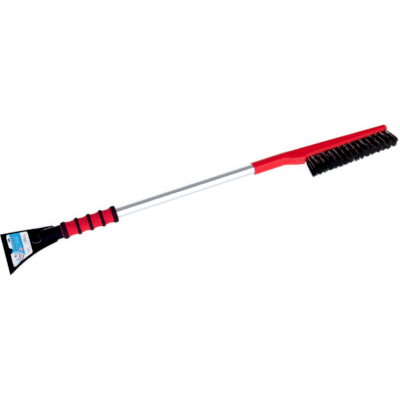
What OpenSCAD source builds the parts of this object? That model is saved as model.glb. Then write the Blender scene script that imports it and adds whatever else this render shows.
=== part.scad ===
// Long-handled snow brush with an ice-scraper blade on the other end.
// X runs along the shaft (blade towards -X, brush towards +X), the bristles point to -Y,
// +Z is the labelled face, and the origin is on the shaft's axis, midway along the bare tube.

/* [Shaft] */
// Outer diameter of the aluminium tube
tube_d = 22; // [20:0.5:23]
// Wall thickness of the tube
tube_wall = 1.2; // [1:0.1:1.6]
// Length of bare tube between the grip and the brush head
bare_len = 315; // [200:5:500]
// Depth of tube held in the scraper's socket
scraper_insert = 38; // [32:1:39]
// Depth of tube held in the brush head's socket
brush_insert = 45; // [40:1:50]
// Length of the dowel that plugs each end of the tube
plug_len = 26; // [20:1:28]

/* [Grip] */
// Length of the whole foam grip
grip_len = 120; // [110:1:150]
// Diameter of the black rings
ring_d = 37; // [35:0.5:38]
// Diameter of a red segment where it meets a ring
segment_d = 33.5; // [32:0.5:34]
// Diameter of a red segment at its waist
waist_d = 30; // [28:0.5:31]
// Width of the two end rings
end_ring_w = 10; // [8:0.5:12]
// Width of the rings between segments
mid_ring_w = 6.5; // [5:0.5:8]
// Thickness of the thin red disc at each end
lip_t = 1.2; // [0.8:0.1:1.5]

/* [Scraper] */
// Width of the blade edge
blade_w = 101; // [90:1:115]
// Length of the plate from the blade edge to its shoulder
plate_len = 108; // [105:1:112]
// Thickness of the plate
plate_t = 4; // [3.5:0.1:4.5]
// Radius that the plate bends down with, towards the blade
bend_r = 190; // [180:5:220]
// Radius of the plate's hollow flanks
flank_r = 470; // [400:10:500]
// Outer diameter of the scraper's socket
socket_d = 29; // [28:0.5:30]
// Length of round neck between the plate and the grip
neck_len = 18; // [15:1:20]
// Number of ice-breaking ribs behind the blade edge
rib_count = 12; // [8:1:13]

/* [Brush] */
// Length of the brush head
head_len = 328.5; // [328:0.5:345]
// Outer diameter of the brush head's socket
head_socket_d = 28.5; // [28:0.5:29]
// Width of the brush head
head_w = 25; // [24:0.5:26]
// Tufts in each outer row
tuft_count = 16; // [14:1:16]
// Distance between tufts in a row
tuft_pitch = 13.3; // [13:0.1:13.4]
// Distance between rows at their roots
row_pitch = 5.2; // [5:0.1:5.4]
// Diameter of a tuft where it leaves the head
tuft_d = 4.2; // [3.8:0.1:4.4]
// Length of the bristles outside the head at the heel
bristle_len = 39; // [30:1:45]

/* [Hidden] */
$fn = 64;

// Colours
black_plastic = [0.05, 0.05, 0.06];
black_foam = [0.07, 0.06, 0.08];
red_foam = [0.88, 0.05, 0.2];
red_plastic = [0.83, 0.05, 0.14];
bristle_black = [0.06, 0.06, 0.06];
plug_grey = [0.6, 0.6, 0.58];

// Places along the shaft
brush_mouth_x = bare_len / 2;
grip_right_x = -bare_len / 2;
grip_left_x = grip_right_x - grip_len;
plate_right_x = grip_left_x - neck_len;
blade_x = plate_right_x - plate_len;
tube_left_x = grip_left_x - scraper_insert;
tube_right_x = brush_mouth_x + brush_insert;
tube_r = tube_d / 2;
plug_r = tube_r - tube_wall;
through = 1;
tall = 100;

// Grip: end ring, then segments and middle rings by turns
segment_w = (grip_len - 2 * lip_t - 2 * end_ring_w - 3 * mid_ring_w) / 4;
grip_step = segment_w + mid_ring_w;
first_segment_x = grip_left_x + lip_t + end_ring_w;

// Self-tapping screws that hold the tube in both sockets
screw_d = 3.5;
screw_len = 11;
screw_head_d = 6.6;
screw_head_h = 2.2;
screw_slot_w = 1;
screw_slot_d = 1.2;
screw_slot_len = 4;
screw_head_taper = 1.4;
screw_inset = 0.4;
recess_d = screw_head_d + 0.4;
scraper_screw_x = grip_left_x - 27;
brush_screw_x = brush_mouth_x + 22;

// Plate: flat near the neck, then bent down to the blade
shoulder_w = 40.2;
shoulder_r = 5;
bend_x = plate_right_x - 22;
edge_t = 1.2;
edge_bevel_len = 9;
rib_strip = 12;
rib_w = 2;
rib_h = 0.9;
rib_lean = 24;
rib_pitch = blade_w / (rib_count + 0.5);
pad_inner_y = 16.3;
pad_h = 1.3;
pad_start_x = plate_right_x - 20;
fairing_top_x = tube_left_x - 2.5;
fairing_end_x = plate_right_x - 35.5;
fairing_end_r = 11.4;
fairing_end_h = 5;

// Label: follows the plate, with a half-round notch on the blade side
label_t = 0.25;
label_left_x = blade_x + 12.5;
label_right_x = blade_x + 57.2;
label_margin = 5.2;
label_notch_r = 7.2;
label_notch_depth = 5.8;
label_round = 3.6;

// Brush head: sections run from the heel to the nose
heel_start_x = brush_mouth_x + 72;
heel_full_x = brush_mouth_x + 115;
heel_end_x = heel_full_x + 4;
block_x = heel_end_x + 2;
nose_x = brush_mouth_x + head_len;
heel_back_y = 9.6;
heel_face_y = -23.4;
face_heel_y = -19.8;
face_nose_y = -15.6;
nose_back_y = 0.2;
back_r = 7;
chamfer_y = 6.5;
chamfer_z = 3;
nose_corner_len = 4;
nose_inset = 3;
slice_t = 0.1;
swell_lip = 0.2;

// Tufts: rooted on the sloping face, fanning out towards the nose
tuft_depth = 11;
first_tuft_x = block_x + 3.5;
row_splay = 9;
heel_lean = 1.5;
nose_lean = 16.5;
tuft_tip_r = 4.8;
tip_shortening = 3;
anchor_t = 0.5;
anchor_h = 2;
anchor_len = tuft_d + 1.4;

function row_z(row) = (row - 2.5) * row_pitch;
function row_tufts(row) = row % 2 == 1 ? tuft_count : tuft_count - 1;
function tuft_x(row, i) = first_tuft_x + tuft_pitch * (i + (row % 2 == 1 ? 0 : 0.5));
function along(x) = (x - first_tuft_x) / (nose_x - first_tuft_x);
function face_y(x) = face_heel_y + (face_nose_y - face_heel_y) * (x - block_x) / (nose_x - block_x);
function tuft_lean(x) = heel_lean + nose_lean * pow(along(x), 2);
function tuft_length(x) = bristle_len - tip_shortening * along(x);
function flank_centre() =
    let (
        a = [blade_x, blade_w / 2],
        b = [plate_right_x, shoulder_w / 2],
        half = norm(b - a) / 2,
        mid = (a + b) / 2,
        away = [a[1] - b[1], b[0] - a[0]] / (2 * half)
    )
    mid + away * sqrt(flank_r * flank_r - half * half);

// A solid of revolution about the shaft's axis, from a profile of [distance along, radius]
module around_shaft(x) {
    translate([x, 0, 0]) rotate([90, 0, 90]) rotate_extrude() children();
}

module shaft_cylinder(x, length, r) {
    translate([x, 0, 0]) rotate([0, 90, 0]) cylinder(h = length, r = r);
}

// Foam ring: a band with rounded outer corners, with the tube's bore through it
module foam_band(x, width, d, corner) {
    around_shaft(x) {
        translate([tube_r, 0]) square([d / 2 - corner - tube_r, width]);
        translate([tube_r, corner]) square([d / 2 - tube_r, width - 2 * corner]);
        for (along_band = [corner, width - corner])
            translate([d / 2 - corner, along_band]) circle(corner);
    }
}

module grip_ring(i) {
    is_end = i == 1 || i == 5;
    width = is_end ? end_ring_w : mid_ring_w;
    x = i == 1 ? grip_left_x + lip_t : first_segment_x + grip_step * (i - 1) - mid_ring_w;
    color(black_foam) foam_band(x, width, ring_d, is_end ? 2.6 : 2);
}

// Red segment: hollow-waisted between its two rings
module grip_segment(i) {
    sag = (segment_d - waist_d) / 2;
    hollow_r = (pow(segment_w / 2, 2) + sag * sag) / (2 * sag);
    color(red_foam) around_shaft(first_segment_x + grip_step * (i - 1)) difference() {
        translate([tube_r, 0]) square([segment_d / 2 - tube_r, segment_w]);
        translate([waist_d / 2 + hollow_r, segment_w / 2]) circle(hollow_r, $fn = 180);
    }
}

module grip_lip(x) {
    color(red_foam) foam_band(x, lip_t, segment_d - 1, 0.4);
}

module shaft_tube() {
    color("silver") difference() {
        shaft_cylinder(tube_left_x, tube_right_x - tube_left_x, tube_r);
        shaft_cylinder(tube_left_x - through, tube_right_x - tube_left_x + 2 * through, plug_r);
        screw_hole(scraper_screw_x);
        screw_hole(brush_screw_x);
    }
}

// Dowel inside the tube's end, which the screw bites into
module tube_plug(x, screw_x) {
    chamfer = 1;
    color(plug_grey) difference() {
        around_shaft(x) polygon([[0, 0], [plug_r - chamfer, 0], [plug_r, chamfer],
            [plug_r, plug_len - chamfer], [plug_r - chamfer, plug_len], [0, plug_len]]);
        screw_hole(screw_x);
    }
}

// The screws come in from the underside, square to the shaft
module screw_hole(x) {
    reach = socket_d / 2;
    translate([x, 0, -reach]) cylinder(h = reach - tube_r + screw_len - screw_inset, d = screw_d, $fn = 32);
}

module screw_recess(x) {
    translate([x, 0, -socket_d]) cylinder(h = socket_d - tube_r - screw_inset, d = recess_d);
}

module retaining_screw(x) {
    translate([x, 0, -tube_r - screw_inset]) color("silver") difference() {
        union() {
            cylinder(h = screw_len, d = screw_d, $fn = 32);
            translate([0, 0, -screw_head_h])
                cylinder(h = screw_head_h, d1 = screw_head_d - screw_head_taper, d2 = screw_head_d);
        }
        for (turn = [0, 90])
            translate([0, 0, -screw_head_h]) rotate([0, 0, turn])
                cube([screw_slot_w, screw_slot_len, 2 * screw_slot_d], center = true);
    }
}

// Outline of the plate seen from above, with its flanks moved inwards by margin
module plate_outline(margin = 0) {
    centre = flank_centre();
    difference() {
        translate([blade_x, -blade_w / 2]) square([plate_len, blade_w]);
        for (side = [1, -1])
            translate([centre[0], side * centre[1]]) circle(flank_r + margin, $fn = 360);
    }
}

// Side view of a sheet that lies on the plate, between two heights above its middle
module sheet_side(low, high) {
    intersection() {
        translate([blade_x, -tall / 2]) square([bend_x - blade_x, tall]);
        translate([bend_x, -bend_r]) difference() {
            circle(bend_r + high, $fn = 360);
            circle(bend_r + low, $fn = 360);
        }
    }
    translate([bend_x, low]) square([plate_right_x - bend_x + neck_len / 2, high - low]);
}

module across(width) {
    rotate([90, 0, 0]) linear_extrude(width, center = true) children();
}

module upright() {
    linear_extrude(tall, center = true) children();
}

// Lower corner of the plate ground back to a thin blade edge
module edge_bevel() {
    drop = bend_r - sqrt(pow(bend_r, 2) - pow(bend_x - blade_x, 2));
    slope = asin((bend_x - blade_x) / bend_r);
    edge_low = plate_t / 2 - edge_t;
    clear = 6;
    translate([blade_x, 0, -drop]) rotate([0, -slope, 0]) across(blade_w + clear)
        polygon([[-clear, edge_low], [0.5, edge_low], [edge_bevel_len, -plate_t / 2 - 0.4],
            [edge_bevel_len, -plate_t / 2 - clear], [-clear, -plate_t / 2 - clear]]);
}

module ice_ribs() {
    intersection() {
        upright() for (i = [0 : rib_count])
            translate([blade_x + 1.5, -blade_w / 2 + rib_pitch * (i + 0.3)])
                rotate(rib_lean) square([rib_strip, rib_w]);
        across(blade_w) sheet_side(0, plate_t / 2 + rib_h);
        upright() plate_outline(1.5);
        upright() translate([blade_x, -blade_w / 2]) square([rib_strip, blade_w]);
    }
}

// Raised pad on each side of the neck, next to the shoulders
module shoulder_pads() {
    for (side = [1, -1])
        intersection() {
            across(blade_w) sheet_side(0, plate_t / 2 + pad_h);
            upright() plate_outline();
            translate([(pad_start_x + plate_right_x) / 2, side * (pad_inner_y + blade_w / 4), 0])
                cube([plate_right_x - pad_start_x, blade_w / 2, tall], center = true);
        }
}

module rounded_shoulders() {
    neck_r = socket_d / 2;
    linear_extrude(plate_t, center = true)
        for (side = [1, -1])
            hull() {
                translate([plate_right_x - 0.5, side * 2]) square([0.5, 1], center = true);
                translate([plate_right_x, side * (shoulder_w / 2 - shoulder_r)]) circle(shoulder_r);
                translate([plate_right_x + shoulder_r, side * (neck_r - 4)]) circle(2);
            }
}

module socket_fairing() {
    hull() {
        shaft_cylinder(fairing_top_x, 0.5, socket_d / 2);
        translate([fairing_end_x, 0, 0]) scale([fairing_end_r, fairing_end_r, fairing_end_h]) sphere(1, $fn = 32);
    }
}

module scraper_head() {
    color(black_plastic) difference() {
        union() {
            intersection() {
                across(blade_w) sheet_side(-plate_t / 2, plate_t / 2);
                upright() plate_outline();
            }
            rounded_shoulders();
            ice_ribs();
            shoulder_pads();
            socket_fairing();
            shaft_cylinder(fairing_top_x, grip_left_x - fairing_top_x, socket_d / 2);
        }
        shaft_cylinder(tube_left_x, scraper_insert + through, tube_r);
        edge_bevel();
        screw_hole(scraper_screw_x);
        screw_recess(scraper_screw_x);
    }
}

// Die-cut label: the plate's outline less a margin, with rounded corners
module label_outline() {
    offset(label_round) offset(-label_round) difference() {
        intersection() {
            plate_outline(label_margin);
            translate([label_left_x, -blade_w / 2])
                square([label_right_x - label_left_x, blade_w]);
        }
        hull()
            for (from_edge = [-label_notch_r, label_notch_depth - label_notch_r])
                translate([label_left_x + from_edge, 0]) circle(label_notch_r);
    }
}

module scraper_label() {
    color("white") intersection() {
        across(blade_w) sheet_side(plate_t / 2, plate_t / 2 + label_t);
        upright() label_outline();
    }
}

// Thin slice of the brush head, for hull(): round back, flat sides, chamfered bristle face
module head_section(x, back_y, front_y) {
    half = head_w / 2;
    translate([x, 0, 0]) rotate([90, 0, 90]) linear_extrude(slice_t) {
        for (side = [1, -1])
            translate([back_y - back_r, side * (half - back_r)]) circle(back_r, $fn = 32);
        polygon([[back_y - back_r, half], [front_y + chamfer_y, half],
            [front_y, half - chamfer_z], [front_y, -half + chamfer_z],
            [front_y + chamfer_y, -half], [back_y - back_r, -half]]);
    }
}

module head_body() {
    hull() {
        shaft_cylinder(heel_start_x - slice_t, slice_t, head_socket_d / 2 + swell_lip);
        head_section(heel_full_x, heel_back_y + 0.2, heel_face_y);
    }
    hull() {
        head_section(heel_full_x, heel_back_y + 0.2, heel_face_y);
        head_section(heel_end_x, heel_back_y + 0.1, heel_face_y + 0.2);
    }
    hull() {
        head_section(heel_end_x, heel_back_y + 0.1, heel_face_y + 0.2);
        head_section(block_x, heel_back_y, face_heel_y);
    }
    hull() {
        head_section(block_x, heel_back_y, face_heel_y);
        head_section(nose_x - nose_corner_len, nose_back_y, face_nose_y);
        head_nose();
    }
}

// The nose is a narrower section ahead of the last full one
module head_nose() {
    half = head_w / 2 - nose_inset;
    back = nose_back_y - nose_inset;
    face = face_nose_y + nose_inset;
    translate([nose_x - slice_t, 0, 0]) rotate([90, 0, 90]) linear_extrude(slice_t)
        polygon([[back, head_w / 2 - back_r], [face_nose_y + chamfer_y, half], [face, half - chamfer_z],
            [face, chamfer_z - half], [face_nose_y + chamfer_y, -half], [back, back_r - head_w / 2]]);
}

// Puts its children at a tuft's root, with +Z pointing out along the bristles
module at_tuft(row, i) {
    x = tuft_x(row, i);
    translate([x, face_y(x), row_z(row)])
        rotate([0, 0, tuft_lean(x)])
            rotate([90 + row_splay * (2.5 - row) / 1.5, 0, 0])
                children();
}

module each_tuft(row) {
    for (i = [0 : row_tufts(row) - 1])
        at_tuft(row, i) children();
}

module tuft_anchor() {
    translate([-anchor_len / 2, -anchor_t / 2, -tuft_depth]) cube([anchor_len, anchor_t, anchor_h]);
}

module brush_head() {
    color(red_plastic) difference() {
        union() {
            shaft_cylinder(brush_mouth_x, heel_start_x - brush_mouth_x, head_socket_d / 2);
            head_body();
        }
        shaft_cylinder(brush_mouth_x - through, brush_insert + through, tube_r);
        screw_hole(brush_screw_x);
        screw_recess(brush_screw_x);
        for (row = [1 : 4]) each_tuft(row) {
            translate([0, 0, -tuft_depth]) cylinder(h = tuft_depth + 3, d = tuft_d, $fn = 32);
            tuft_anchor();
        }
    }
}

module bristle_row(row) {
    color(bristle_black) difference() {
        for (i = [0 : row_tufts(row) - 1])
            at_tuft(row, i) {
                translate([0, 0, -tuft_depth]) cylinder(h = tuft_depth, d = tuft_d, $fn = 32);
                cylinder(h = tuft_length(tuft_x(row, i)), r1 = tuft_d / 2, r2 = tuft_tip_r, $fn = 32);
            }
        each_tuft(row) tuft_anchor();
    }
}

module tuft_anchors_row(row) {
    color("silver") each_tuft(row) tuft_anchor();
}

scraper_head();
scraper_label();
retaining_screw(scraper_screw_x);  // scraper_screw
tube_plug(tube_left_x, scraper_screw_x);  // scraper_tube_plug
shaft_tube();
grip_lip(grip_left_x);  // grip_lip_scraper_end
grip_lip(grip_right_x - lip_t);  // grip_lip_brush_end
grip_ring(1);  // grip_ring_1
grip_ring(2);  // grip_ring_2
grip_ring(3);  // grip_ring_3
grip_ring(4);  // grip_ring_4
grip_ring(5);  // grip_ring_5
grip_segment(1);  // grip_segment_1
grip_segment(2);  // grip_segment_2
grip_segment(3);  // grip_segment_3
grip_segment(4);  // grip_segment_4
brush_head();
retaining_screw(brush_screw_x);  // brush_screw
tube_plug(tube_right_x - plug_len, brush_screw_x);  // brush_tube_plug
bristle_row(1);  // bristle_row_1
bristle_row(2);  // bristle_row_2
bristle_row(3);  // bristle_row_3
bristle_row(4);  // bristle_row_4
tuft_anchors_row(1);  // tuft_anchors_row_1
tuft_anchors_row(2);  // tuft_anchors_row_2
tuft_anchors_row(3);  // tuft_anchors_row_3
tuft_anchors_row(4);  // tuft_anchors_row_4
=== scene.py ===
"""Looks for a snow brush with an ice scraper: foam grip, aluminium tube, moulded heads and bristles."""

import math
import random

import bmesh
import bpy
from mathutils import Matrix, Vector


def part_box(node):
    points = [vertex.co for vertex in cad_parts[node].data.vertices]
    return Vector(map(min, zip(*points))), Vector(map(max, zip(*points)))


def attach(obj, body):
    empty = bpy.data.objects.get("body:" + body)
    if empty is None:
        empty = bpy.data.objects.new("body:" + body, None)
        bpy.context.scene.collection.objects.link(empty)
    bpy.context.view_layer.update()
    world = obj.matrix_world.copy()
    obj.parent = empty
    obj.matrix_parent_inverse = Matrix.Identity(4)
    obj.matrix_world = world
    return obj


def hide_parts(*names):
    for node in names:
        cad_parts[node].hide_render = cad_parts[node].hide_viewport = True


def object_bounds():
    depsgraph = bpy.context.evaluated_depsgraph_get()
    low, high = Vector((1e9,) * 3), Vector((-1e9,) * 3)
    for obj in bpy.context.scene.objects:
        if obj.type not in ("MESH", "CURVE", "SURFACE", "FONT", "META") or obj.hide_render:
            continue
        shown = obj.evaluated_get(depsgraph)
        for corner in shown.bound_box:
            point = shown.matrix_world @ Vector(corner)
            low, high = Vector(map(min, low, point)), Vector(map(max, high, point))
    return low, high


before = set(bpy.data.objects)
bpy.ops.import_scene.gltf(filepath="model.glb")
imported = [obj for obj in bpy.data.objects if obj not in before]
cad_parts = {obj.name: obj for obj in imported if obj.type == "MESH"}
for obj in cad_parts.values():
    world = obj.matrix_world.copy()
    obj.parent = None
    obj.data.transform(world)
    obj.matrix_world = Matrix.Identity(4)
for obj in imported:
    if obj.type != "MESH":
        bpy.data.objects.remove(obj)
cad_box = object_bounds()

MM = 0.001


def span(node):
    """A CAD node's lowest and highest corner, in millimetres."""
    low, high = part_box(node)
    return [c / MM for c in low], [c / MM for c in high]


# ---------------------------------------------------------------- sizes, in millimetres
head_low, head_high = span("scraper_head")
tube_low, tube_high = span("shaft_tube")
brush_low, brush_high = span("brush_head")

TUBE_R = tube_high[2]
TUBE_WALL = 1.2
GRIP_RING_COUNT = 5
SEGMENT_WAIST = 1.75
SCREW_RECESS_R = 3.5
SCREW_RECESS_Z = -30

# scraper: plate, blade edge, shoulders, neck and the cover over its socket
BLADE_X, BLADE_HALF = head_low[0], head_high[1]
NECK_END_X, NECK_R = head_high[0], head_high[2]
PLATE_RIGHT_X = NECK_END_X - 18
PLATE_T = 4
EDGE_T, EDGE_TAPER = 1.2, 9
BEND_X, BEND_R = PLATE_RIGHT_X - 22, 190
FLANK_R = 470
SHOULDER_HALF, SHOULDER_R = 20.1, 5.5
FAIRING_TOP_X = tube_low[0] - 2.5
FAIRING_END_X = PLATE_RIGHT_X - 48.5
FAIRING_END_HALF, FAIRING_END_H = 7.8, 1.2
ROUND_MARK_X = PLATE_RIGHT_X - 33.5
PAD_START_X = PLATE_RIGHT_X - 20
PAD_INNER_Y, PAD_H = 16.3, 1.3
RIB_REACH, RIB_W, RIB_H = 12.0, 2.0, 0.9
RIB_PITCH = 2 * BLADE_HALF / 12.5
RIB_LEAN = 24
LABEL_X = span("scraper_label")[0][0]

# brush head: round socket, heel, then a block that tapers to the nose
MOUTH_X, NOSE_X = brush_low[0], brush_high[0]
HEAD_R = brush_high[1] - 0.2
HEAD_HALF = 12.5
HEEL_START_X = MOUTH_X + 72
HEEL_FULL_X = MOUTH_X + 115
HEEL_END_X = HEEL_FULL_X + 4
BLOCK_X = HEEL_END_X + 2
HEEL_BACK_Y, HEEL_FACE_Y = 9.6, -23.4
FACE_HEEL_Y, FACE_NOSE_Y = -19.8, -15.6
NOSE_BACK_Y = 0.2
NOSE_CHAMFER_LEN, NOSE_CHAMFER_IN = 3.6, 2.8

# bristles
ROW_COUNT, ROW_PITCH, ROW_SPLAY = 4, 5.2, 9
ROWS, MIDDLE_ROW = range(1, ROW_COUNT + 1), (ROW_COUNT + 1) / 2
FIRST_TUFT_X = BLOCK_X + 3.5
TUFT_PITCH, TUFT_D, TUFT_DEPTH = 13.3, 4.2, 10.9
LONG_ROW_TUFTS = 16
HEEL_LEAN, NOSE_LEAN = 4, 12
BRISTLE_LEN, NOSE_SHORTER = 38.5, 3
BRISTLE_R, BRISTLE_TIP_R = 0.22, 0.17
BRISTLES_PER_TUFT, CLUMPS_PER_TUFT = 220, 14
BRISTLE_POINTS = 7

# random seeds, to each of which a piece adds its number
RING_SEED, SEGMENT_SEED, LIP_SEED, BRISTLE_SEED = 10, 20, 30, 100


# ---------------------------------------------------------------- light levels
WORLD_FRONT = 1.6
WORLD_BACK = 0.4
FLOOR_GLOW = 0.83
BLACK_POINT = 0.016


# ---------------------------------------------------------------- node helpers
def new_material(name):
    """An empty material and its shader."""
    mat = bpy.data.materials.new(name)
    mat.use_nodes = True
    nodes = mat.node_tree.nodes
    nodes.clear()
    out = nodes.new("ShaderNodeOutputMaterial")
    bsdf = nodes.new("ShaderNodeBsdfPrincipled")
    mat.node_tree.links.new(bsdf.outputs[0], out.inputs[0])
    return mat, bsdf


class Graph:
    """Short-hand for building a material's node tree. Values may be sockets or numbers."""

    def __init__(self, mat):
        self.tree = mat.node_tree
        self.coords = self.tree.nodes.new("ShaderNodeTexCoord")

    def put(self, socket, value):
        if isinstance(value, bpy.types.NodeSocket):
            self.tree.links.new(value, socket)
        else:
            socket.default_value = value

    def math(self, op, a, b=0.0, c=0.0):
        node = self.tree.nodes.new("ShaderNodeMath")
        node.operation = op
        for socket, value in zip(node.inputs, (a, b, c)):
            self.put(socket, value)
        return node.outputs[0]

    def object_mm(self):
        """The point on the object, in millimetres, as separate X, Y and Z."""
        scale = self.tree.nodes.new("ShaderNodeVectorMath")
        scale.operation = "SCALE"
        self.put(scale.inputs[0], self.coords.outputs["Object"])
        scale.inputs["Scale"].default_value = 1 / MM
        split = self.tree.nodes.new("ShaderNodeSeparateXYZ")
        self.put(split.inputs[0], scale.outputs[0])
        return split.outputs

    def stretched(self, x, y, z):
        """Object coordinates scaled by (x, y, z) per metre."""
        mapping = self.tree.nodes.new("ShaderNodeMapping")
        mapping.vector_type = "POINT"
        self.put(mapping.inputs["Vector"], self.coords.outputs["Object"])
        mapping.inputs["Scale"].default_value = (x, y, z)
        return mapping.outputs[0]

    def noise(self, vector, scale, detail=3.0, rough=0.55):
        node = self.tree.nodes.new("ShaderNodeTexNoise")
        self.put(node.inputs["Vector"], vector)
        node.inputs["Scale"].default_value = scale
        node.inputs["Detail"].default_value = detail
        node.inputs["Roughness"].default_value = rough
        return node.outputs[0]

    def cells(self, vector, scale):
        node = self.tree.nodes.new("ShaderNodeTexVoronoi")
        self.put(node.inputs["Vector"], vector)
        node.inputs["Scale"].default_value = scale
        return node.outputs["Distance"]

    def ramp(self, value, *stops):
        """Colour ramp; each stop is (position, grey or (r, g, b))."""
        node = self.tree.nodes.new("ShaderNodeValToRGB")
        self.put(node.inputs[0], value)
        elements = node.color_ramp.elements
        while len(elements) < len(stops):
            elements.new(0.5)
        for element, (position, colour) in zip(elements, stops):
            element.position = position
            grey = isinstance(colour, (int, float))
            element.color = (colour, colour, colour, 1) if grey else (*colour, 1)
        return node.outputs[0]

    def mix(self, factor, a, b):
        node = self.tree.nodes.new("ShaderNodeMix")
        node.data_type = "RGBA"
        self.put(node.inputs[0], factor)
        for socket, value in ((node.inputs[6], a), (node.inputs[7], b)):
            self.put(socket, value if isinstance(value, bpy.types.NodeSocket) else (*value, 1))
        return node.outputs[2]

    def step(self, value, low, high):
        """Smooth step from 0 at low to 1 at high; low may be the larger."""
        node = self.tree.nodes.new("ShaderNodeMapRange")
        node.interpolation_type = "SMOOTHSTEP"
        self.put(node.inputs["Value"], value)
        node.inputs["From Min"].default_value = min(low, high)
        node.inputs["From Max"].default_value = max(low, high)
        node.inputs["To Min"].default_value = 0.0 if low < high else 1.0
        node.inputs["To Max"].default_value = 1.0 if low < high else 0.0
        return node.outputs[0]

    def chain(self, op, values):
        result = values[0]
        for value in values[1:]:
            result = self.math(op, result, value)
        return result

    def both(self, *masks):
        """Masks multiplied together."""
        return self.chain("MULTIPLY", masks)

    def either(self, *masks):
        """The strongest of several masks."""
        return self.chain("MAXIMUM", masks)

    def between(self, value, low, high, soft=0.25):
        """1 from low to high, with soft edges."""
        rise = self.step(value, low - soft, low + soft)
        return self.both(rise, self.step(value, high + soft, high - soft))

    def box(self, x, y, x0, x1, y0, y1, soft=0.25):
        """1 inside a rectangle, with soft edges."""
        return self.both(self.between(x, x0, x1, soft), self.between(y, y0, y1, soft))

    def distance(self, x, y, cx, cy, stretch=1.0):
        """Distance from a centre; stretch turns the circle into an oval along Y."""
        dx = self.math("SUBTRACT", x, cx)
        dy = self.math("DIVIDE", self.math("SUBTRACT", y, cy), stretch)
        return self.length(dx, dy)

    def length(self, dx, dy):
        squares = self.math("ADD", self.math("MULTIPLY", dx, dx), self.math("MULTIPLY", dy, dy))
        return self.math("SQRT", squares)

    def stripes(self, value, pitch, share, soft=0.12):
        """1 on a share of each pitch, centred in it."""
        turn = self.math("FRACT", self.math("DIVIDE", value, pitch))
        return self.between(turn, 0.5 - share / 2, 0.5 + share / 2, soft / pitch)

    def bump(self, height, strength, distance_mm, under=None):
        node = self.tree.nodes.new("ShaderNodeBump")
        self.put(node.inputs["Height"], height)
        node.inputs["Strength"].default_value = strength
        node.inputs["Distance"].default_value = distance_mm * MM
        if under is not None:
            self.put(node.inputs["Normal"], under)
        return node.outputs[0]


# ---------------------------------------------------------------- materials
def moulded_plastic(name, base, shade, rough, grain=0.15, specular=0.5):
    """Injection-moulded plastic: faint flow mottling, fine grain, small gloss changes."""
    mat, bsdf = new_material(name)
    g = Graph(mat)
    point = g.coords.outputs["Object"]
    flow = g.noise(g.stretched(0.35, 1, 1), 60, 3)
    g.put(bsdf.inputs["Base Color"], g.mix(g.ramp(flow, (0.35, 0.0), (0.7, 1.0)), base, shade))
    gloss = g.ramp(g.noise(point, 140, 4), (0.3, rough - 0.06), (0.75, rough + 0.08))
    g.put(bsdf.inputs["Roughness"], gloss)
    fine = g.bump(g.noise(point, 2600, 2), grain, 0.04)
    g.put(bsdf.inputs["Normal"], g.bump(g.noise(point, 45, 2), 0.1, 0.2, fine))
    bsdf.inputs["Specular IOR Level"].default_value = specular
    return mat


def scuffed_and_highlit_plastic(name, base, shade, scuff_and_highlight_colour):
    """The scraper's plastic: scratched grey behind the blade edge, partly real wear and partly painted
    highlights on the ribs, and painted highlights on its raised details.
    """
    mat = moulded_plastic(name, base, shade, rough=0.52, grain=0.1, specular=0.08)
    g = Graph(mat)
    bsdf = mat.node_tree.nodes["Principled BSDF"]
    under = bsdf.inputs["Base Color"].links[0].from_socket
    x, y, z = g.object_mm()

    # scratch and chip marks in a band behind the edge, and wear along the edge itself; the light spots there
    # are partly wear and partly painted highlights standing in for the ribs' glints
    scratch_and_glint_streaks = g.step(g.noise(g.stretched(0.25, 1, 1), 420, 3), 0.5, 0.7)
    chip_and_glint_spots = g.step(g.noise(g.coords.outputs["Object"], 190, 2), 0.52, 0.66)
    strip = g.both(g.step(x, BLADE_X + 10, BLADE_X + 5), scratch_and_glint_streaks, chip_and_glint_spots)
    edge = g.both(g.step(x, BLADE_X + 2.6, BLADE_X + 0.8), g.step(scratch_and_glint_streaks, -0.6, 1.0))

    # a painted highlight round the low side of the end of the socket's cover, and three small round painted
    # highlights beside it
    round_end = g.between(g.distance(x, y, ROUND_MARK_X, -1, 0.67), 12.4, 13.6, 0.6)
    low_side = g.both(g.step(y, -2.5, -4), g.step(x, ROUND_MARK_X + 9, ROUND_MARK_X + 4))
    painted_pip_highlights = [g.step(g.distance(x, y, ROUND_MARK_X + pip_x, pip_y), 1.2, 0.7)
            for pip_x, pip_y in ((2.8, 12.2), (4.0, 2.4), (3.8, -2.5))]
    marks = g.either(strip, edge, g.both(round_end, low_side), g.both(g.either(*painted_pip_highlights), 0.7))
    above_underside = g.step(z, -16, -12)
    # the lighter grey laid on both the real wear and the painted highlights
    wear_and_highlights = g.mix(g.both(marks, above_underside), under, scuff_and_highlight_colour)

    # painted highlight on the inner walls of the shoulder pads, which the neck shades from the front
    painted_pad_wall_highlight = g.box(x, y, PAD_START_X + 3, PLATE_RIGHT_X + 2, PAD_INNER_Y - 0.5, PAD_INNER_Y + 0.5, 0.4)
    g.put(bsdf.inputs["Base Color"], g.mix(g.both(painted_pad_wall_highlight, g.step(z, 1, 2)), wear_and_highlights, (0.3, 0.3, 0.32)))
    return mat


def foam(name, base, shade, sheen):
    """Ground closed-cell foam: fine open pores and soft grinding marks round the grip."""
    mat, bsdf = new_material(name)
    g = Graph(mat)
    point = g.coords.outputs["Object"]
    pores = g.cells(point, 1500)
    marks = g.noise(g.stretched(9, 1, 1), 130, 3)
    patchy = g.noise(point, 90, 4)
    g.put(bsdf.inputs["Base Color"], g.mix(g.ramp(patchy, (0.3, 0.0), (0.72, 1.0)), base, shade))
    g.put(bsdf.inputs["Roughness"], g.ramp(patchy, (0.2, 0.78), (0.8, 0.92)))
    height = g.math("ADD", g.math("MULTIPLY", pores, 0.7), g.math("MULTIPLY", marks, 0.6))
    g.put(bsdf.inputs["Normal"], g.bump(height, 0.45, 0.12))
    bsdf.inputs["Specular IOR Level"].default_value = 0.15
    bsdf.inputs["Sheen Weight"].default_value = sheen
    bsdf.inputs["Sheen Roughness"].default_value = 0.5
    return mat


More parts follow.
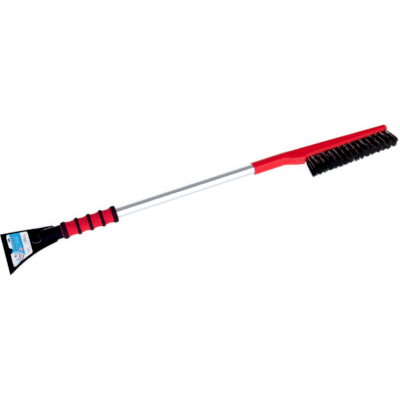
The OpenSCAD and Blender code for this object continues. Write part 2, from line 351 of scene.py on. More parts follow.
def anodised_tube(name):
    """Drawn and anodised aluminium: long fine draw lines along the shaft."""
    mat, bsdf = new_material(name)
    g = Graph(mat)
    lines = g.noise(g.stretched(0.02, 1, 1), 2400, 3, 0.6)
    broad = g.noise(g.stretched(0.1, 1, 1), 260, 3)
    g.put(bsdf.inputs["Base Color"],
          g.mix(g.ramp(lines, (0.3, 0.0), (0.7, 1.0)), (0.65, 0.66, 0.72), (0.79, 0.80, 0.86)))
    g.put(bsdf.inputs["Roughness"], g.ramp(broad, (0.3, 0.26), (0.7, 0.36)))
    g.put(bsdf.inputs["Normal"], g.bump(lines, 0.08, 0.02))
    bsdf.inputs["Metallic"].default_value = 1.0
    return mat


def plated_steel(name):
    """Zinc-plated steel: slightly mottled, bright."""
    mat, bsdf = new_material(name)
    g = Graph(mat)
    spots = g.noise(g.coords.outputs["Object"], 900, 4)
    g.put(bsdf.inputs["Base Color"],
          g.mix(g.ramp(spots, (0.3, 0.0), (0.7, 1.0)), (0.46, 0.47, 0.48), (0.68, 0.68, 0.66)))
    g.put(bsdf.inputs["Roughness"], g.ramp(spots, (0.2, 0.24), (0.8, 0.42)))
    bsdf.inputs["Metallic"].default_value = 1.0
    return mat


def filament(name):
    """Black extruded bristle: satin, with a painted highlight: paler near the roots on the front of each
    tuft.
    """
    mat, bsdf = new_material(name)
    g = Graph(mat)
    x, y, _ = g.object_mm()
    vary = g.noise(g.stretched(1, 0.12, 1), 480, 3)

    # where a bristle starts along the head, followed back along its lean
    along = g.math("DIVIDE", g.math("SUBTRACT", x, FIRST_TUFT_X), NOSE_X - FIRST_TUFT_X)
    heel_slope, nose_slope, root_y = 0.07, 0.21, -18
    lean = g.math("MULTIPLY_ADD", g.math("MULTIPLY", along, along), nose_slope, heel_slope)
    root_x = g.math("MULTIPLY_ADD", g.math("SUBTRACT", y, root_y), lean, x)

    # tufts of neighbouring rows alternate, so one stands in front at each half pitch; that tuft is painted
    # paler as a painted highlight
    from_gap = g.math("SUBTRACT", root_x, FIRST_TUFT_X - TUFT_PITCH / 4)
    stray = g.noise(g.stretched(1, 0.3, 1), 160, 2)
    strayed = g.math("MULTIPLY_ADD", stray, 4, g.math("SUBTRACT", from_gap, 2))
    front = g.either(g.stripes(strayed, TUFT_PITCH / 2, 0.36, 1.4), 0.04)
    # painted highlight: the pale colour goes on the tufts in front, near the roots
    pale = g.both(front, g.step(vary, 0.42, 0.62), g.step(y, -60, -24))
    g.put(bsdf.inputs["Base Color"], g.mix(pale, (0.003, 0.005, 0.008), (0.88, 0.58, 0.64)))
    g.put(bsdf.inputs["Roughness"], g.ramp(vary, (0.2, 0.4), (0.8, 0.55)))
    g.put(bsdf.inputs["Normal"], g.bump(vary, 0.1, 0.05))
    bsdf.inputs["Specular IOR Level"].default_value = 0.25
    return mat


def printed_label(name):
    """Coated film with a generic print: sky, snow slope, snowball with arcs, badge, bars, ruled strips.

    Places along the label are in millimetres from its edge by the blade.
    """
    mat, bsdf = new_material(name)
    g = Graph(mat)
    x, y, _ = g.object_mm()
    u = g.math("SUBTRACT", x, LABEL_X)
    film = g.coords.outputs["Object"]
    white, sky, pale = (0.86, 0.88, 0.92), (0.002, 0.40, 0.80), (0.20, 0.62, 0.88)
    deep, navy = (0.002, 0.17, 0.52), (0.012, 0.035, 0.16)
    grey, red = (0.20, 0.21, 0.30), (0.62, 0.02, 0.06)

    both = g.both

    def ink(under, mask, colour, strength=1.0):
        return g.mix(both(mask, strength), under, colour)

    # the sky, between a white margin at each side, falls away over a round snow slope
    crest_u, crest_y = 5.0, -7.5
    from_crest = g.math("SUBTRACT", u, crest_u)
    fall = g.math("MULTIPLY", g.math("MULTIPLY", from_crest, from_crest), 0.03)
    above = g.math("SUBTRACT", y, g.math("SUBTRACT", crest_y, fall))
    left_of_socket_margin = g.step(u, 30.0, 29.4)
    blade_margin = both(g.step(u, 6.6, 6.0), g.step(y, 2.5, 3.5))
    in_sky = both(left_of_socket_margin, g.step(above, -0.3, 0.3), g.math("SUBTRACT", 1.0, blade_margin))
    tint = g.mix(g.step(g.noise(film, 90, 2), 0.42, 0.68), sky, (0.02, 0.47, 0.85))
    colour = g.mix(in_sky, white, tint)
    colour = ink(colour, both(g.between(u, 26.6, 29.8, 0.7), g.between(y, -5, 25, 4)), deep, 0.75)
    crest = both(g.between(above, -0.7, 0.5, 0.3), left_of_socket_margin, g.step(u, 2.5, 5.0))
    colour = ink(colour, crest, (0.62, 0.85, 0.95), 0.8)

    # two columns of leaning bars in the sky
    lean = g.math("ADD", y, g.math("MULTIPLY", x, 0.5))
    column = both(g.between(u, 9.0, 16.6, 0.5), g.between(y, -7, 31, 1.0))
    colour = ink(colour, both(column, g.stripes(lean, 5.6, 0.8, 0.6)), pale, 0.6)
    bars = both(g.between(u, 10.4, 15.4, 0.35), g.between(y, -6.4, 30.4, 0.4))
    colour = ink(colour, both(bars, g.stripes(lean, 5.6, 0.46, 0.3)), navy, 0.9)
    side = both(g.between(u, 18.4, 22.6, 0.4), g.between(y, 8, 25, 0.5))
    colour = ink(colour, both(side, g.stripes(lean, 3.1, 0.5, 0.3)), pale, 0.8)

    # oval mark on the margin, and a round badge
    colour = ink(colour, g.step(g.distance(u, y, 3.6, 25, 3.2), 2.0, 1.5), navy)
    badge = g.distance(u, y, 23.2, -7.6, 1.55)
    colour = ink(colour, g.step(badge, 3.3, 2.8), (0.72, 0.10, 0.12))
    colour = ink(colour, g.step(badge, 2.5, 2.0), (0.90, 0.42, 0.42))

    # snowball on a shaded slope, with one arc towards the blade and two towards the socket
    ball_u, ball_y = 9.2, -18.5
    ball = g.distance(u, y, ball_u, ball_y)
    on_slope = both(g.step(above, -0.8, -1.6), left_of_socket_margin)
    colour = ink(colour, both(on_slope, g.step(y, -24, -38)), (0.45, 0.78, 0.92), 0.75)
    left_arc = both(on_slope, g.between(ball, 6.6, 9.2, 0.3), g.step(u, 5, 8))
    colour = ink(colour, left_arc, (0.01, 0.34, 0.66), 0.85)
    to_the_side = both(on_slope, g.step(u, 11.5, 13.0))
    colour = ink(colour, both(to_the_side, g.between(ball, 10.2, 13.0, 0.3)), red, 0.85)
    colour = ink(colour, both(to_the_side, g.between(ball, 15.8, 18.0, 0.3)), navy, 0.9)

    # snow crystal on the ball: six arms with barbs, folded into one sixth of a turn
    sixth = math.pi / 3
    dx, dy = g.math("SUBTRACT", u, ball_u), g.math("SUBTRACT", y, ball_y + 1.4)
    reach = g.length(dx, dy)
    turn = g.math("ADD", g.math("ARCTAN2", dy, dx), 7.5 * sixth)
    folded = g.math("SUBTRACT", g.math("MODULO", turn, sixth), sixth / 2)
    out_along = g.math("MULTIPLY", reach, g.math("COSINE", folded))
    off_arm = g.math("ABSOLUTE", g.math("MULTIPLY", reach, g.math("SINE", folded)))
    arm = both(g.step(off_arm, 0.55, 0.3), g.step(out_along, 3.9, 3.6))
    barb = g.math("ABSOLUTE", g.math("SUBTRACT", g.math("SUBTRACT", out_along, off_arm), 1.9))
    barbs = both(g.step(barb, 0.5, 0.3), g.step(off_arm, 1.4, 1.1))
    colour = ink(colour, g.either(arm, barbs), navy)

    # code-like ticks, ruled lines and a fine rule on the margin by the socket
    tick_lines = g.step(g.noise(g.stretched(0.12, 1, 0), 900, 0), 0.44, 0.54)
    colour = ink(colour, both(g.box(u, y, 32.8, 39.6, 2.2, 21.8, 0.2), tick_lines), grey, 0.9)
    broken = g.step(g.noise(g.stretched(0.4, 1, 0), 700, 1), 0.38, 0.5)
    ruled = both(g.stripes(x, 1.7, 0.5, 0.2), broken)
    for u0, u1, y0, y1 in ((34.2, 40.4, -23.0, -10.8), (36.0, 40.0, -4.6, -0.6)):
        colour = ink(colour, both(g.box(u, y, u0, u1, y0, y1, 0.3), ruled), grey, 0.8)
    colour = ink(colour, both(g.box(u, y, 42.3, 43.3, -14.5, 4.5), broken), grey, 0.7)

    g.put(bsdf.inputs["Base Color"], colour)
    g.put(bsdf.inputs["Roughness"], g.ramp(g.noise(film, 160, 4), (0.3, 0.3), (0.75, 0.42)))
    g.put(bsdf.inputs["Normal"], g.bump(g.noise(film, 900, 3), 0.12, 0.03))
    return mat


RED_PLASTIC = moulded_plastic("red_plastic", (0.68, 0.003, 0.018), (0.72, 0.004, 0.021),
                              rough=0.2, grain=0.05, specular=0.32)
# black plastic with wear and painted highlights in a lighter grey
SCRAPER_PLASTIC = scuffed_and_highlit_plastic("scraper_plastic", (0.004, 0.004, 0.008), (0.008, 0.008, 0.014),
                                  scuff_and_highlight_colour=(0.085, 0.085, 0.1))
PLUG_PLASTIC = moulded_plastic("plug_plastic", (0.42, 0.42, 0.40), (0.5, 0.5, 0.47), rough=0.5)
RED_FOAM = foam("red_foam", (0.54, 0.008, 0.032), (0.72, 0.016, 0.05), sheen=0.05)
LIP_FOAM = foam("lip_foam", (0.24, 0.04, 0.09), (0.32, 0.07, 0.13), sheen=0.05)
BLACK_FOAM = foam("black_foam", (0.014, 0.007, 0.011), (0.026, 0.012, 0.019), sheen=0.01)
ALUMINIUM = anodised_tube("aluminium")
STEEL = plated_steel("steel")
BRISTLE = filament("bristle")
LABEL = printed_label("label")


# ---------------------------------------------------------------- mesh helpers
def make_object(name, verts, faces, material, smooth=True):
    """A mesh object from millimetre points."""
    mesh = bpy.data.meshes.new(name)
    mesh.from_pydata([[c * MM for c in v] for v in verts], [], faces)
    mesh.validate()
    for polygon in mesh.polygons:
        polygon.use_smooth = smooth
    obj = bpy.data.objects.new(name, mesh)
    bpy.context.scene.collection.objects.link(obj)
    mesh.materials.append(material)
    fix_normals(mesh)
    return obj


def fix_normals(mesh):
    """Turns every face outwards."""
    bm = bmesh.new()
    bm.from_mesh(mesh)
    bmesh.ops.recalc_face_normals(bm, faces=bm.faces)
    bm.to_mesh(mesh)
    bm.free()


def sharpen(obj, degrees):
    """Smooth shading that stops at edges sharper than an angle."""
    obj.data.set_sharp_from_angle(angle=math.radians(degrees))


def stand_for(obj, node):
    """Puts a visual piece in the place of a CAD node."""
    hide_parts(node)
    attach(obj, "root")


def paint_node(node, material):
    """Gives its look to a CAD node that stays visible."""
    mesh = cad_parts[node].data
    mesh.materials.clear()
    mesh.materials.append(material)


def loft(rings):
    """Vertices and faces of a closed skin over rings with the same number of points."""
    count = len(rings[0])
    verts = [p for ring in rings for p in ring]
    faces = []
    for r in range(len(rings) - 1):
        a, b = r * count, (r + 1) * count
        for i in range(count):
            j = (i + 1) % count
            faces.append((a + i, a + j, b + j, b + i))
    faces.append(tuple(range(count - 1, -1, -1)))
    last = (len(rings) - 1) * count
    faces.append(tuple(range(last, last + count)))
    return verts, faces


def lathe(profile, steps, wobble=None):
    """Skin of a closed (x, radius) profile turned about the shaft's axis."""
    verts, faces = [], []
    count = len(profile)
    for s in range(steps):
        angle = 2 * math.pi * s / steps
        for x, r in profile:
            grown = r + (wobble(x, r, angle) if wobble else 0)
            verts.append((x, grown * math.cos(angle), grown * math.sin(angle)))
    for s in range(steps):
        a, b = s * count, ((s + 1) % steps) * count
        for i in range(count):
            j = (i + 1) % count
            faces.append((a + i, b + i, b + j, a + j))
    return verts, faces


def arc(cx, cy, r, start, end, steps):
    """Points on an arc, angles in degrees."""
    turns = [math.radians(start + (end - start) * k / steps) for k in range(steps + 1)]
    return [(cx + r * math.cos(turn), cy + r * math.sin(turn)) for turn in turns]


def circle(centre, axis, r, count):
    """Points round a circle that faces along an axis."""
    side = axis.orthogonal().normalized()
    other = axis.cross(side)
    turns = [2 * math.pi * k / count for k in range(count)]
    return [centre + r * (math.cos(turn) * side + math.sin(turn) * other) for turn in turns]


def add_skin(verts, faces, rings):
    """Adds a closed skin over rings to the vertices and faces of a larger mesh."""
    start = len(verts)
    new_verts, new_faces = loft(rings)
    verts += new_verts
    faces += [tuple(start + i for i in face) for face in new_faces]


def cut(obj, cutter):
    """Takes one closed mesh out of another and removes the cutter."""
    modifier = obj.modifiers.new("cut", "BOOLEAN")
    modifier.operation = "DIFFERENCE"
    modifier.object = cutter
    modifier.solver = "EXACT"
    graph = bpy.context.evaluated_depsgraph_get()
    result = bpy.data.meshes.new_from_object(obj.evaluated_get(graph))
    obj.modifiers.clear()
    obj.data = result
    bpy.data.objects.remove(cutter)


def rod(name, start, end, r, steps=48):
    """A plain cylinder between two points in millimetres, for cutting."""
    start, end = Vector(start), Vector(end)
    axis = (end - start).normalized()
    verts, faces = loft([circle(centre, axis, r, steps) for centre in (start, end)])
    return make_object(name, verts, faces, STEEL, smooth=False)


def cut_socket(obj, start_x, end_x, screw):
    """Takes out the bore for the tube, and the recess round the head of its retaining screw."""
    cut(obj, rod("bore", (start_x, 0, 0), (end_x, 0, 0), TUBE_R, 96))
    screw_low, screw_high = span(screw)
    centre = (screw_low[0] + screw_high[0]) / 2
    cut(obj, rod("recess", (centre, 0, -TUBE_R - 0.4), (centre, 0, SCREW_RECESS_Z), SCREW_RECESS_R))


# ---------------------------------------------------------------- tube
def make_tube():
    """Drawn tube with a small chamfer on each of its four edges."""
    x0, x1 = tube_low[0], tube_high[0]
    inner, edge, steps = TUBE_R - TUBE_WALL, 0.3, 40
    profile = [(x0, inner + edge), (x0, TUBE_R - edge), (x0 + edge, TUBE_R)]
    profile += [(x0 + (x1 - x0) * k / steps, TUBE_R) for k in range(1, steps)]
    profile += [(x1 - edge, TUBE_R), (x1, TUBE_R - edge), (x1, inner + edge)]
    profile += [(x1 - edge, inner), (x0 + edge, inner)]
    verts, faces = lathe(profile, 96)
    tube = make_object("tube", verts, faces, ALUMINIUM)
    sharpen(tube, 40)
    stand_for(tube, "shaft_tube")


# ---------------------------------------------------------------- foam grip
def foam_wobble(seed, amount):
    """Small unevenness of ground foam; the bore stays round."""
    rng = random.Random(seed)
    waves = [(rng.randint(2, 9), rng.uniform(0, 6.28), rng.uniform(0.1, 0.9), rng.uniform(0, 6.28))
             for _ in range(6)]

    def grow(x, r, angle):
        if r < TUBE_R + 0.5:
            return 0
        return amount * sum(math.sin(n * angle + p + k * x + q) for n, p, k, q in waves) / len(waves)
    return grow


def foam_piece(name, profile, material, node, seed):
    """A turned foam piece in the place of a CAD node."""
    verts, faces = lathe(profile, 144, foam_wobble(seed, 0.12))
    piece = make_object(name, verts, faces, material)
    sharpen(piece, 50)
    stand_for(piece, node)


def ring_profile(x0, x1, r, corner):
    """Band with a slightly crowned top and round outer corners, as (x, radius)."""
    crown, steps = 0.25, 6
    shoulder = r - crown
    top = [(x0 + corner + (x1 - x0 - 2 * corner) * k / steps,
            shoulder + crown * math.sin(math.pi * k / steps)) for k in range(1, steps)]
    left = arc(x0 + corner, shoulder - corner, corner, 180, 90, 8)
    right = arc(x1 - corner, shoulder - corner, corner, 90, 0, 8)
    wall = [TUBE_R + (r - corner - TUBE_R) * k / 4 for k in range(4)]
    return [(x0, h) for h in wall] + left + top + right + [(x1, h) for h in reversed(wall)]


def segment_profile(x0, x1, end_r, waist_r):
    """Foam segment with a round hollow waist, as (x, radius)."""
    half = (x1 - x0) / 2
    sag = end_r - waist_r
    hollow = (half * half + sag * sag) / (2 * sag)
    steps = 24
    outer = []
    for k in range(steps + 1):
        x = x0 + (x1 - x0) * k / steps
        outer.append((x, waist_r + hollow - math.sqrt(hollow ** 2 - (x - x0 - half) ** 2)))
    return [(x0, TUBE_R), *outer, (x1, TUBE_R)]


def make_grip():
    """Black rings, red segments and thin lips; the narrow rings bulge a little over the next segment."""
    for i in range(1, GRIP_RING_COUNT + 1):
        low, high = span(f"grip_ring_{i}")
        is_end = i in (1, GRIP_RING_COUNT)
        corner, shift, bulge = (2.6, 0.0, 0.5) if is_end else (2.0, 0.4, 1.3)
        foam_piece(f"foam_ring_{i}", ring_profile(low[0] + shift, high[0] + bulge, high[2], corner),
                   BLACK_FOAM, f"grip_ring_{i}", RING_SEED + i)
    for i in range(1, GRIP_RING_COUNT):
        low, high = span(f"grip_segment_{i}")
        profile = segment_profile(low[0], high[0] + 0.6, high[2], high[2] - SEGMENT_WAIST)
        foam_piece(f"foam_segment_{i}", profile, RED_FOAM, f"grip_segment_{i}", SEGMENT_SEED + i)
    for i, end in enumerate(("scraper_end", "brush_end")):
        low, high = span(f"grip_lip_{end}")
        foam_piece(f"foam_lip_{end}", ring_profile(low[0], high[0], high[2], 0.4),
                   LIP_FOAM, f"grip_lip_{end}", LIP_SEED + i)


# ---------------------------------------------------------------- scraper
def flank_half(x):
    """Half the plate's width at x, from its hollow round flanks."""
    ax, ay, bx, by = BLADE_X, BLADE_HALF, PLATE_RIGHT_X, SHOULDER_HALF
    half = math.hypot(bx - ax, by - ay) / 2
    reach = math.sqrt(FLANK_R ** 2 - half ** 2) / (2 * half)
    cx = (ax + bx) / 2 + (ay - by) * reach
    cy = (ay + by) / 2 + (bx - ax) * reach
    return cy - math.sqrt(FLANK_R ** 2 - (x - cx) ** 2)


def sheet_z(x):
    """Height of the plate's middle surface."""
    if x > BEND_X:
        return 0.0
    return math.sqrt(BEND_R ** 2 - (BEND_X - x) ** 2) - BEND_R


def sheet_slope(x):
    """Slope of the plate's middle surface, in radians."""
    return 0.0 if x > BEND_X else math.asin((BEND_X - x) / BEND_R)


def smooth_max(a, b, k):
    """The larger of two heights, with a fillet of about k where they meet."""
    h = max(k - abs(a - b), 0) / k
    return max(a, b) + h * h * k / 4


def ease(t):
    """Smooth step from 0 to 1 as t goes from 0 to 1."""
    t = min(max(t, 0), 1)
    return t * t * (3 - 2 * t)


def plan_half(x):
    """Half the scraper's width at x: plate, round shoulder, then the neck."""
    if x <= PLATE_RIGHT_X:
        return flank_half(x)
    t = (x - PLATE_RIGHT_X) / SHOULDER_R
    if t >= 1:
        return NECK_R
    return NECK_R + (SHOULDER_HALF - NECK_R) * math.sqrt(1 - t * t)


def fairing_height(x, y):
    """Height of the socket's cover over the shaft's axis, or None beside and beyond it.

    It is round at the neck, then flatter and narrower, and ends in a half circle.
    """
    t = max((FAIRING_TOP_X - x) / (FAIRING_TOP_X - FAIRING_END_X), 0)
    if t >= 1:
        return None
    round_from = 0.55
    round_end = math.sqrt(1 - max((t - round_from) / (1 - round_from), 0) ** 2)
    half = (NECK_R + (FAIRING_END_HALF - NECK_R) * t) * round_end
    if abs(y) >= half:
        return None
    high = FAIRING_END_H + (NECK_R - FAIRING_END_H) * (1 - t) ** 1.1
    flatness = 0.5 + 0.6 * ease(t / 0.35)
    return high * (1 - (y / half) ** 2) ** flatness


def pad_height(x, y):
    """Raised pads on both sides of the neck, next to the shoulders."""
    if x > PLATE_RIGHT_X + 3:
        return 0.0
    return PAD_H * ease((x - PAD_START_X) / 5) * ease((abs(y) - PAD_INNER_Y + 0.6) / 1.2)


def rib_height(x, y):
    """Low slanted ribs behind the blade edge."""
    from_edge = x - BLADE_X
    if from_edge > RIB_REACH or abs(y) > flank_half(x) - 1.5:
        return 0.0
    across = (y + BLADE_HALF - 2.4 - math.tan(math.radians(RIB_LEAN)) * from_edge) % RIB_PITCH
    near = min(across, RIB_PITCH - across) / (RIB_W / 2)
    ends = ease(from_edge / 1.5) * ease((RIB_REACH - from_edge) / 1.2)
    return RIB_H * ends * ease(1.35 - near)


def plate_surfaces(x, y, half):
    """Top and bottom of the plate, with its ground blade edge and rounded sides."""
    middle = sheet_z(x)
    t = PLATE_T / 2 / math.cos(sheet_slope(x))
    taper = ease(1 - (x - BLADE_X) / EDGE_TAPER) * (PLATE_T - EDGE_T)
    corner = min(0.4 + 0.06 * (x - BLADE_X), 1.5)
    inside = half - abs(y)
    drop = corner - math.sqrt(max(corner ** 2 - max(corner - inside, 0) ** 2, 0))

    # the rounding stops short of the middle, so that the sides keep a thin flat
    drop = min(drop, t - 0.35)
    lower_drop = min(drop, max(t - taper / 2 - 0.3, 0.1))
    return middle + t - drop, middle - t + taper + lower_drop


def scraper_section(x, columns):
    """Closed ring of points round the scraper at x."""
    half = plan_half(x)
    is_neck = x > PLATE_RIGHT_X + SHOULDER_R
    fillet, crowding = 0.8, 0.94
    top, bottom = [], []
    for k in range(columns + 1):
        # columns stand closer together towards the flanks
        y = half * math.sin(math.pi * (k / columns - 0.5) * crowding) / math.sin(math.pi * crowding / 2)
        upper, lower = plate_surfaces(x, y, half)
        cover = fairing_height(x, y)
        if is_neck:
            rise = math.sqrt(max(NECK_R ** 2 - y * y, 0.0))
            upper, lower = rise, -rise
        elif cover is None:
            upper += pad_height(x, y)
        else:
            upper = smooth_max(upper, cover, fillet) if cover > upper - fillet else upper
            lower = -smooth_max(-lower, cover, fillet) if cover > -lower - fillet else lower
        upper += rib_height(x, y)
        top.append((x, y, upper))
        bottom.append((x, y, lower))
    return top + bottom[::-1]


def scraper_stations():
    """Places of the sections along the scraper: close together at the ribs and round the shoulders."""
    xs = [BLADE_X + 0.55 * k for k in range(26)]
    while xs[-1] < PLATE_RIGHT_X - 2:
        xs.append(xs[-1] + 1.1)
    turns = 14
    xs += [PLATE_RIGHT_X + SHOULDER_R * math.sin(math.pi / 2 * k / turns) for k in range(turns + 1)]
    xs += [PLATE_RIGHT_X + SHOULDER_R + 0.1, PLATE_RIGHT_X + 8, PLATE_RIGHT_X + 11]
    xs += [NECK_END_X - 0.6, NECK_END_X]
    return xs


def make_scraper():
    """Blade, plate, cover and neck as one skin, with the socket taken out."""
    columns = 190
    verts, faces = loft([scraper_section(x, columns) for x in scraper_stations()])
    head = make_object("scraper", verts, faces, SCRAPER_PLASTIC)
    cut_socket(head, tube_low[0], NECK_END_X + 1, "scraper_screw")
    sharpen(head, 42)
    stand_for(head, "scraper_head")


# ---------------------------------------------------------------- brush head
def rounded_corner(before, here, after, radius):
    """Centre of a corner's arc, and the arms from it to where the arc starts and ends."""
    to_before, to_after = (before - here).normalized(), (after - here).normalized()
    half_angle = to_before.angle(to_after) / 2
    centre = here + (to_before + to_after).normalized() * radius / math.sin(half_angle)
    cut_back = radius / math.tan(half_angle)
    return centre, here + to_before * cut_back - centre, here + to_after * cut_back - centre


def rounded_ring(corners, per_corner=9, per_side=6):
    """Closed ring of (y, z) points round a polygon whose corners (y, z, radius) are rounded."""
    places = [Vector(corner[:2]) for corner in corners]
    count = len(corners)
    rounds = [rounded_corner(places[i - 1], places[i], places[(i + 1) % count], corners[i][2])
              for i in range(count)]
    points = []
    for (centre, start, end), (next_centre, next_start, _) in zip(rounds, rounds[1:] + rounds[:1]):
        sweep = start.angle_signed(end)
        points += [centre + Matrix.Rotation(-sweep * k / (per_corner - 1), 2) @ start
                   for k in range(per_corner)]
        side_start, side_end = centre + end, next_centre + next_start
        points += [side_start.lerp(side_end, k / per_side) for k in range(1, per_side)]
    return points


def block_ring(back_y, face_y, shrink=0.0):
    """Section of the brush head's block: round back, flat sides, chamfers next to the bristles."""
    half, back, face = HEAD_HALF - shrink, back_y - shrink, face_y + shrink
    chamfer_y, chamfer_z = 6.5, 3.0
    back_r, side_r, face_r = 6.5 - shrink * 0.6, 2.5, 1.2
    one_side = [(back, half, back_r), (face + chamfer_y, half, side_r), (face, half - chamfer_z, face_r)]
    return rounded_ring(one_side + [(y, -z, r) for y, z, r in reversed(one_side)])


def block_face_y(x):
    """The bristle side of the block, which narrows towards the nose."""
    return FACE_HEEL_Y + (FACE_NOSE_Y - FACE_HEEL_Y) * (x - BLOCK_X) / (NOSE_X - BLOCK_X)


def block_back_y(x):
    """The back of the block, which narrows towards the nose."""
    return HEEL_BACK_Y + (NOSE_BACK_Y - HEEL_BACK_Y) * (x - BLOCK_X) / (NOSE_X - BLOCK_X)


def brush_head_sections():
    """(x, ring) of each section, from the mouth to the nose."""
    heel = block_ring(HEEL_BACK_Y + 0.1, HEEL_FACE_Y)
    middle = Vector(((HEEL_BACK_Y + HEEL_FACE_Y) / 2, 0))
    round_ring = [(p - middle).normalized() * HEAD_R for p in heel]

    # round socket, with its mouth's edge broken
    mouth_len = 0.5
    for along, inset in ((0, 0.5), (0.15, 0.2), (mouth_len, 0.0)):
        yield MOUTH_X + along, [p * (1 - inset / HEAD_R) for p in round_ring]
    steps = 18
    for k in range(1, steps + 1):
        yield MOUTH_X + mouth_len + (HEEL_START_X - MOUTH_X - mouth_len) * k / steps, round_ring

    # swells from the round socket to the heel, a little slower at both ends
    steps = 30
    for k in range(1, steps + 1):
        t = k / steps
        grown = t - 0.3 * math.sin(2 * math.pi * t) / (2 * math.pi) + 0.06 * math.sin(math.pi * t)
        ring = [a.lerp(b, grown) for a, b in zip(round_ring, heel)]
        yield HEEL_START_X + (HEEL_FULL_X - HEEL_START_X) * t, ring

    # steps up from the heel to the face that holds the bristles
    turn_x, steps = HEEL_END_X - 1.5, 8
    yield HEEL_END_X - 2.5, heel
    for k in range(steps + 1):
        t = k / steps
        x = turn_x + (BLOCK_X - turn_x) * t
        yield x, block_ring(block_back_y(x), HEEL_FACE_Y + (FACE_HEEL_Y - HEEL_FACE_Y) * ease(t))

    # tapering block
    steps = 64
    for k in range(1, steps + 1):
        x = BLOCK_X + (NOSE_X - NOSE_CHAMFER_LEN - 0.4 - BLOCK_X) * k / steps
        yield x, block_ring(block_back_y(x), block_face_y(x))

    # chamfered nose; both numbers are shares of the chamfer
    for along, inset in ((0.04, 0.02), (0.12, 0.1), (0.3, 0.28), (0.6, 0.58),
                         (0.86, 0.85), (0.96, 0.96), (1.0, 1.08)):
        x = NOSE_X - NOSE_CHAMFER_LEN * (1 - along)
        yield x, block_ring(block_back_y(x), block_face_y(x), NOSE_CHAMFER_IN * inset)


def make_brush_head():
    """Socket, heel and block as one skin, with the bore and the tuft holes taken out."""
    verts, faces = loft([[(x, p[0], p[1]) for p in ring] for x, ring in brush_head_sections()])
    head = make_object("brush_block", verts, faces, RED_PLASTIC)
    cut_socket(head, MOUTH_X - 1, tube_high[0], "brush_screw")
    cut(head, make_tuft_holes())
    sharpen(head, 42)
    stand_for(head, "brush_head")


# ---------------------------------------------------------------- bristles
def tufts(row):
    """Root, outward axis and place along the head (0 to 1) of each tuft in a row."""
    is_long = row % 2 == 1
    for i in range(LONG_ROW_TUFTS if is_long else LONG_ROW_TUFTS - 1):
        x = FIRST_TUFT_X + TUFT_PITCH * (i + (0 if is_long else 0.5))
        t = (x - FIRST_TUFT_X) / (NOSE_X - FIRST_TUFT_X)
        lean = math.radians(HEEL_LEAN + NOSE_LEAN * t * t)
        pitch = math.radians(90 + ROW_SPLAY * (MIDDLE_ROW - row) / (MIDDLE_ROW - 1))
        axis = Vector((math.sin(pitch) * math.sin(lean), -math.sin(pitch) * math.cos(lean), math.cos(pitch)))
        yield Vector((x, block_face_y(x), (row - MIDDLE_ROW) * ROW_PITCH)), axis, t


def make_tuft_holes():
    """One mesh of every tuft's hole, for cutting."""
    verts, faces = [], []
    for row in ROWS:
        for root, axis, _ in tufts(row):
            ends = [root + axis * along for along in (-TUFT_DEPTH, 3)]
            add_skin(verts, faces, [circle(end, axis, TUFT_D / 2, 20) for end in ends])
    return make_object("tuft_holes", verts, faces, STEEL, smooth=False)


def inside_circle(rng, side, other):
    """An even random pick inside a circle of radius 1."""
    turn, share = rng.uniform(0, 2 * math.pi), math.sqrt(rng.random())
    return (math.cos(turn) * side + math.sin(turn) * other) * share


def scatter(rng, side, other, amount):
    """A random shift across the tuft."""
    return side * rng.gauss(0, amount) + other * rng.gauss(0, amount)


def make_bristle_row(row):
    """Fanned filaments; towards their tips they gather in small clumps of unequal length."""
    rng = random.Random(BRISTLE_SEED + row)
    shares = [k / (BRISTLE_POINTS - 1) for k in range(BRISTLE_POINTS)]
    radii = [BRISTLE_R + (BRISTLE_TIP_R - BRISTLE_R) * s for s in shares]
    fan_out, gather_in, buried = 4.3, 1.8, 3
    verts, faces = [], []
    for root, axis, t in tufts(row):
        side = Vector((-axis.y, axis.x, 0)).normalized()
        other = axis.cross(side)
        drift = scatter(rng, side, other, 0.5)
        clumps = [(inside_circle(rng, side, other), rng.gauss(0, 0.8)) for _ in range(CLUMPS_PER_TUFT)]
        for _ in range(BRISTLES_PER_TUFT):
            spread = inside_circle(rng, side, other)
            heart, longer = min(clumps, key=lambda clump: (clump[0] - spread).length)
            bottom = root + spread * (TUFT_D / 2 - 0.25)
            reach = BRISTLE_LEN - NOSE_SHORTER * t - spread.length + longer + rng.gauss(0, 1.0)
            fan = spread * fan_out + drift + scatter(rng, side, other, 0.5)
            gather = (heart - spread) * gather_in
            bow = scatter(rng, side, other, 0.4)
            path = []
            for s in shares:
                across = fan * s ** 0.42 + gather * s ** 3 + bow * math.sin(math.pi * s)
                path.append(bottom + axis * (reach * s - buried * (1 - s)) + across)
            along = (path[-1] - path[0]).normalized()
            add_skin(verts, faces, [circle(point, along, r, 4) for point, r in zip(path, radii)])
    bristles = make_object(f"bristles_{row}", verts, faces, BRISTLE)
    stand_for(bristles, f"bristle_row_{row}")


make_tube()
make_grip()
make_scraper()
make_brush_head()
for row in ROWS:
    make_bristle_row(row)

paint_node("scraper_label", LABEL)
for node in ("scraper_screw", "brush_screw", *(f"tuft_anchors_row_{row}" for row in ROWS)):
    paint_node(node, STEEL)
for node in ("scraper_tube_plug", "brush_tube_plug"):
    paint_node(node, PLUG_PLASTIC)


# ---------------------------------------------------------------- stage, lights and camera
def make_stage():
    """Plain floor under the lowest point. Its own glow keeps it white, so the object's shadow is faint."""
    floor_z = cad_box[0][2]
    mesh = bpy.data.meshes.new("floor")
    reach = 6.0
    corners = ((-reach, -reach), (reach, -reach), (reach, reach), (-reach, reach))
    mesh.from_pydata([(x, y, floor_z) for x, y in corners], [], [(0, 1, 2, 3)])
    floor = bpy.data.objects.new("floor", mesh)
    bpy.context.scene.collection.objects.link(floor)
    mat, bsdf = new_material("floor_white")
    bsdf.inputs["Base Color"].default_value = (0.2, 0.2, 0.2, 1)
    bsdf.inputs["Roughness"].default_value = 0.9
    bsdf.inputs["Emission Color"].default_value = (1, 1, 1, 1)
    bsdf.inputs["Emission Strength"].default_value = FLOOR_GLOW
    mesh.materials.append(mat)


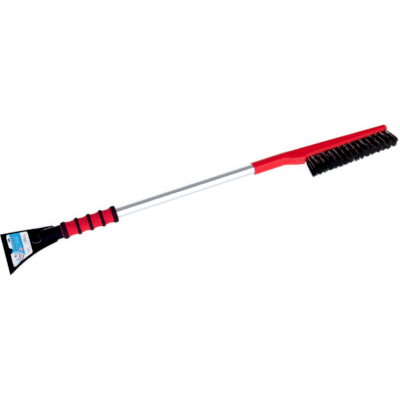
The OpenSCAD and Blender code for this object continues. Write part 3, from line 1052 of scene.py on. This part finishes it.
def make_light(name, place, target, size, power):
    """Rectangular area light that points at a target."""
    data = bpy.data.lights.new(name, "AREA")
    data.shape = "RECTANGLE"
    data.size, data.size_y = size
    data.energy = power
    light = bpy.data.objects.new(name, data)
    bpy.context.scene.collection.objects.link(light)
    light.location = place
    light.rotation_mode = "QUATERNION"
    light.rotation_quaternion = (Vector(target) - Vector(place)).to_track_quat("-Z", "Y")


def make_world():
    """Studio surround: bright on the bristle side, greyer above and behind, pale along the horizon."""
    world = bpy.data.worlds.new("studio")
    bpy.context.scene.world = world
    world.use_nodes = True
    tree = world.node_tree
    background = tree.nodes["Background"]
    coords = tree.nodes.new("ShaderNodeTexCoord")

    def node(kind, **settings):
        made = tree.nodes.new(kind)
        for key, value in settings.items():
            setattr(made, key, value)
        return made

    def ranged(value, low, high, to_low, to_high):
        made = node("ShaderNodeMapRange", interpolation_type="SMOOTHSTEP")
        tree.links.new(value, made.inputs["Value"])
        ends = {"From Min": low, "From Max": high, "To Min": to_low, "To Max": to_high}
        for name, number in ends.items():
            made.inputs[name].default_value = number
        return made.outputs[0]

    bright_side = (0, -0.94, -0.34)
    facing = node("ShaderNodeVectorMath", operation="DOT_PRODUCT")
    tree.links.new(coords.outputs["Generated"], facing.inputs[0])
    facing.inputs[1].default_value = bright_side
    split = node("ShaderNodeSeparateXYZ")
    tree.links.new(coords.outputs["Generated"], split.inputs[0])
    surround = ranged(facing.outputs["Value"], -0.35, 0.35, WORLD_BACK, WORLD_FRONT)
    horizon = ranged(split.outputs[2], 0.08, 0.3, 0.9, 0.0)
    strongest = node("ShaderNodeMath", operation="MAXIMUM")
    tree.links.new(surround, strongest.inputs[0])
    tree.links.new(horizon, strongest.inputs[1])
    tree.links.new(strongest.outputs[0], background.inputs["Strength"])
    background.inputs["Color"].default_value = (0.985, 0.985, 1, 1)


def make_camera():
    """Looks down on the labelled face from the bristle side."""
    azimuth, elevation = math.radians(-20.9), math.radians(60)
    distance, shift_right, shift_up = 1.401, 0.0299, -0.0202
    back = Vector((math.sin(azimuth) * math.cos(elevation),
                   -math.cos(azimuth) * math.cos(elevation), math.sin(elevation)))
    right = Vector((math.cos(azimuth), math.sin(azimuth), 0))
    up = back.cross(right)
    data = bpy.data.cameras.new("camera")
    data.sensor_width, data.lens = 36, 58.05
    data.clip_start, data.clip_end = 0.05, 20
    camera = bpy.data.objects.new("camera", data)
    bpy.context.scene.collection.objects.link(camera)
    camera.location = right * shift_right + up * shift_up + back * distance
    camera.rotation_mode = "QUATERNION"
    camera.rotation_quaternion = Matrix((right, up, back)).transposed().to_quaternion()
    bpy.context.scene.camera = camera


make_stage()
make_world()
make_light("softbox", place=(-0.1, -0.75, 1.5), target=(0, 0, 0), size=(2.0, 0.7), power=6)
make_camera()
view = bpy.context.scene.view_settings
view.view_transform = "Standard"
view.use_curve_mapping = True
view.curve_mapping.black_level = (BLACK_POINT,) * 3
view.curve_mapping.update()
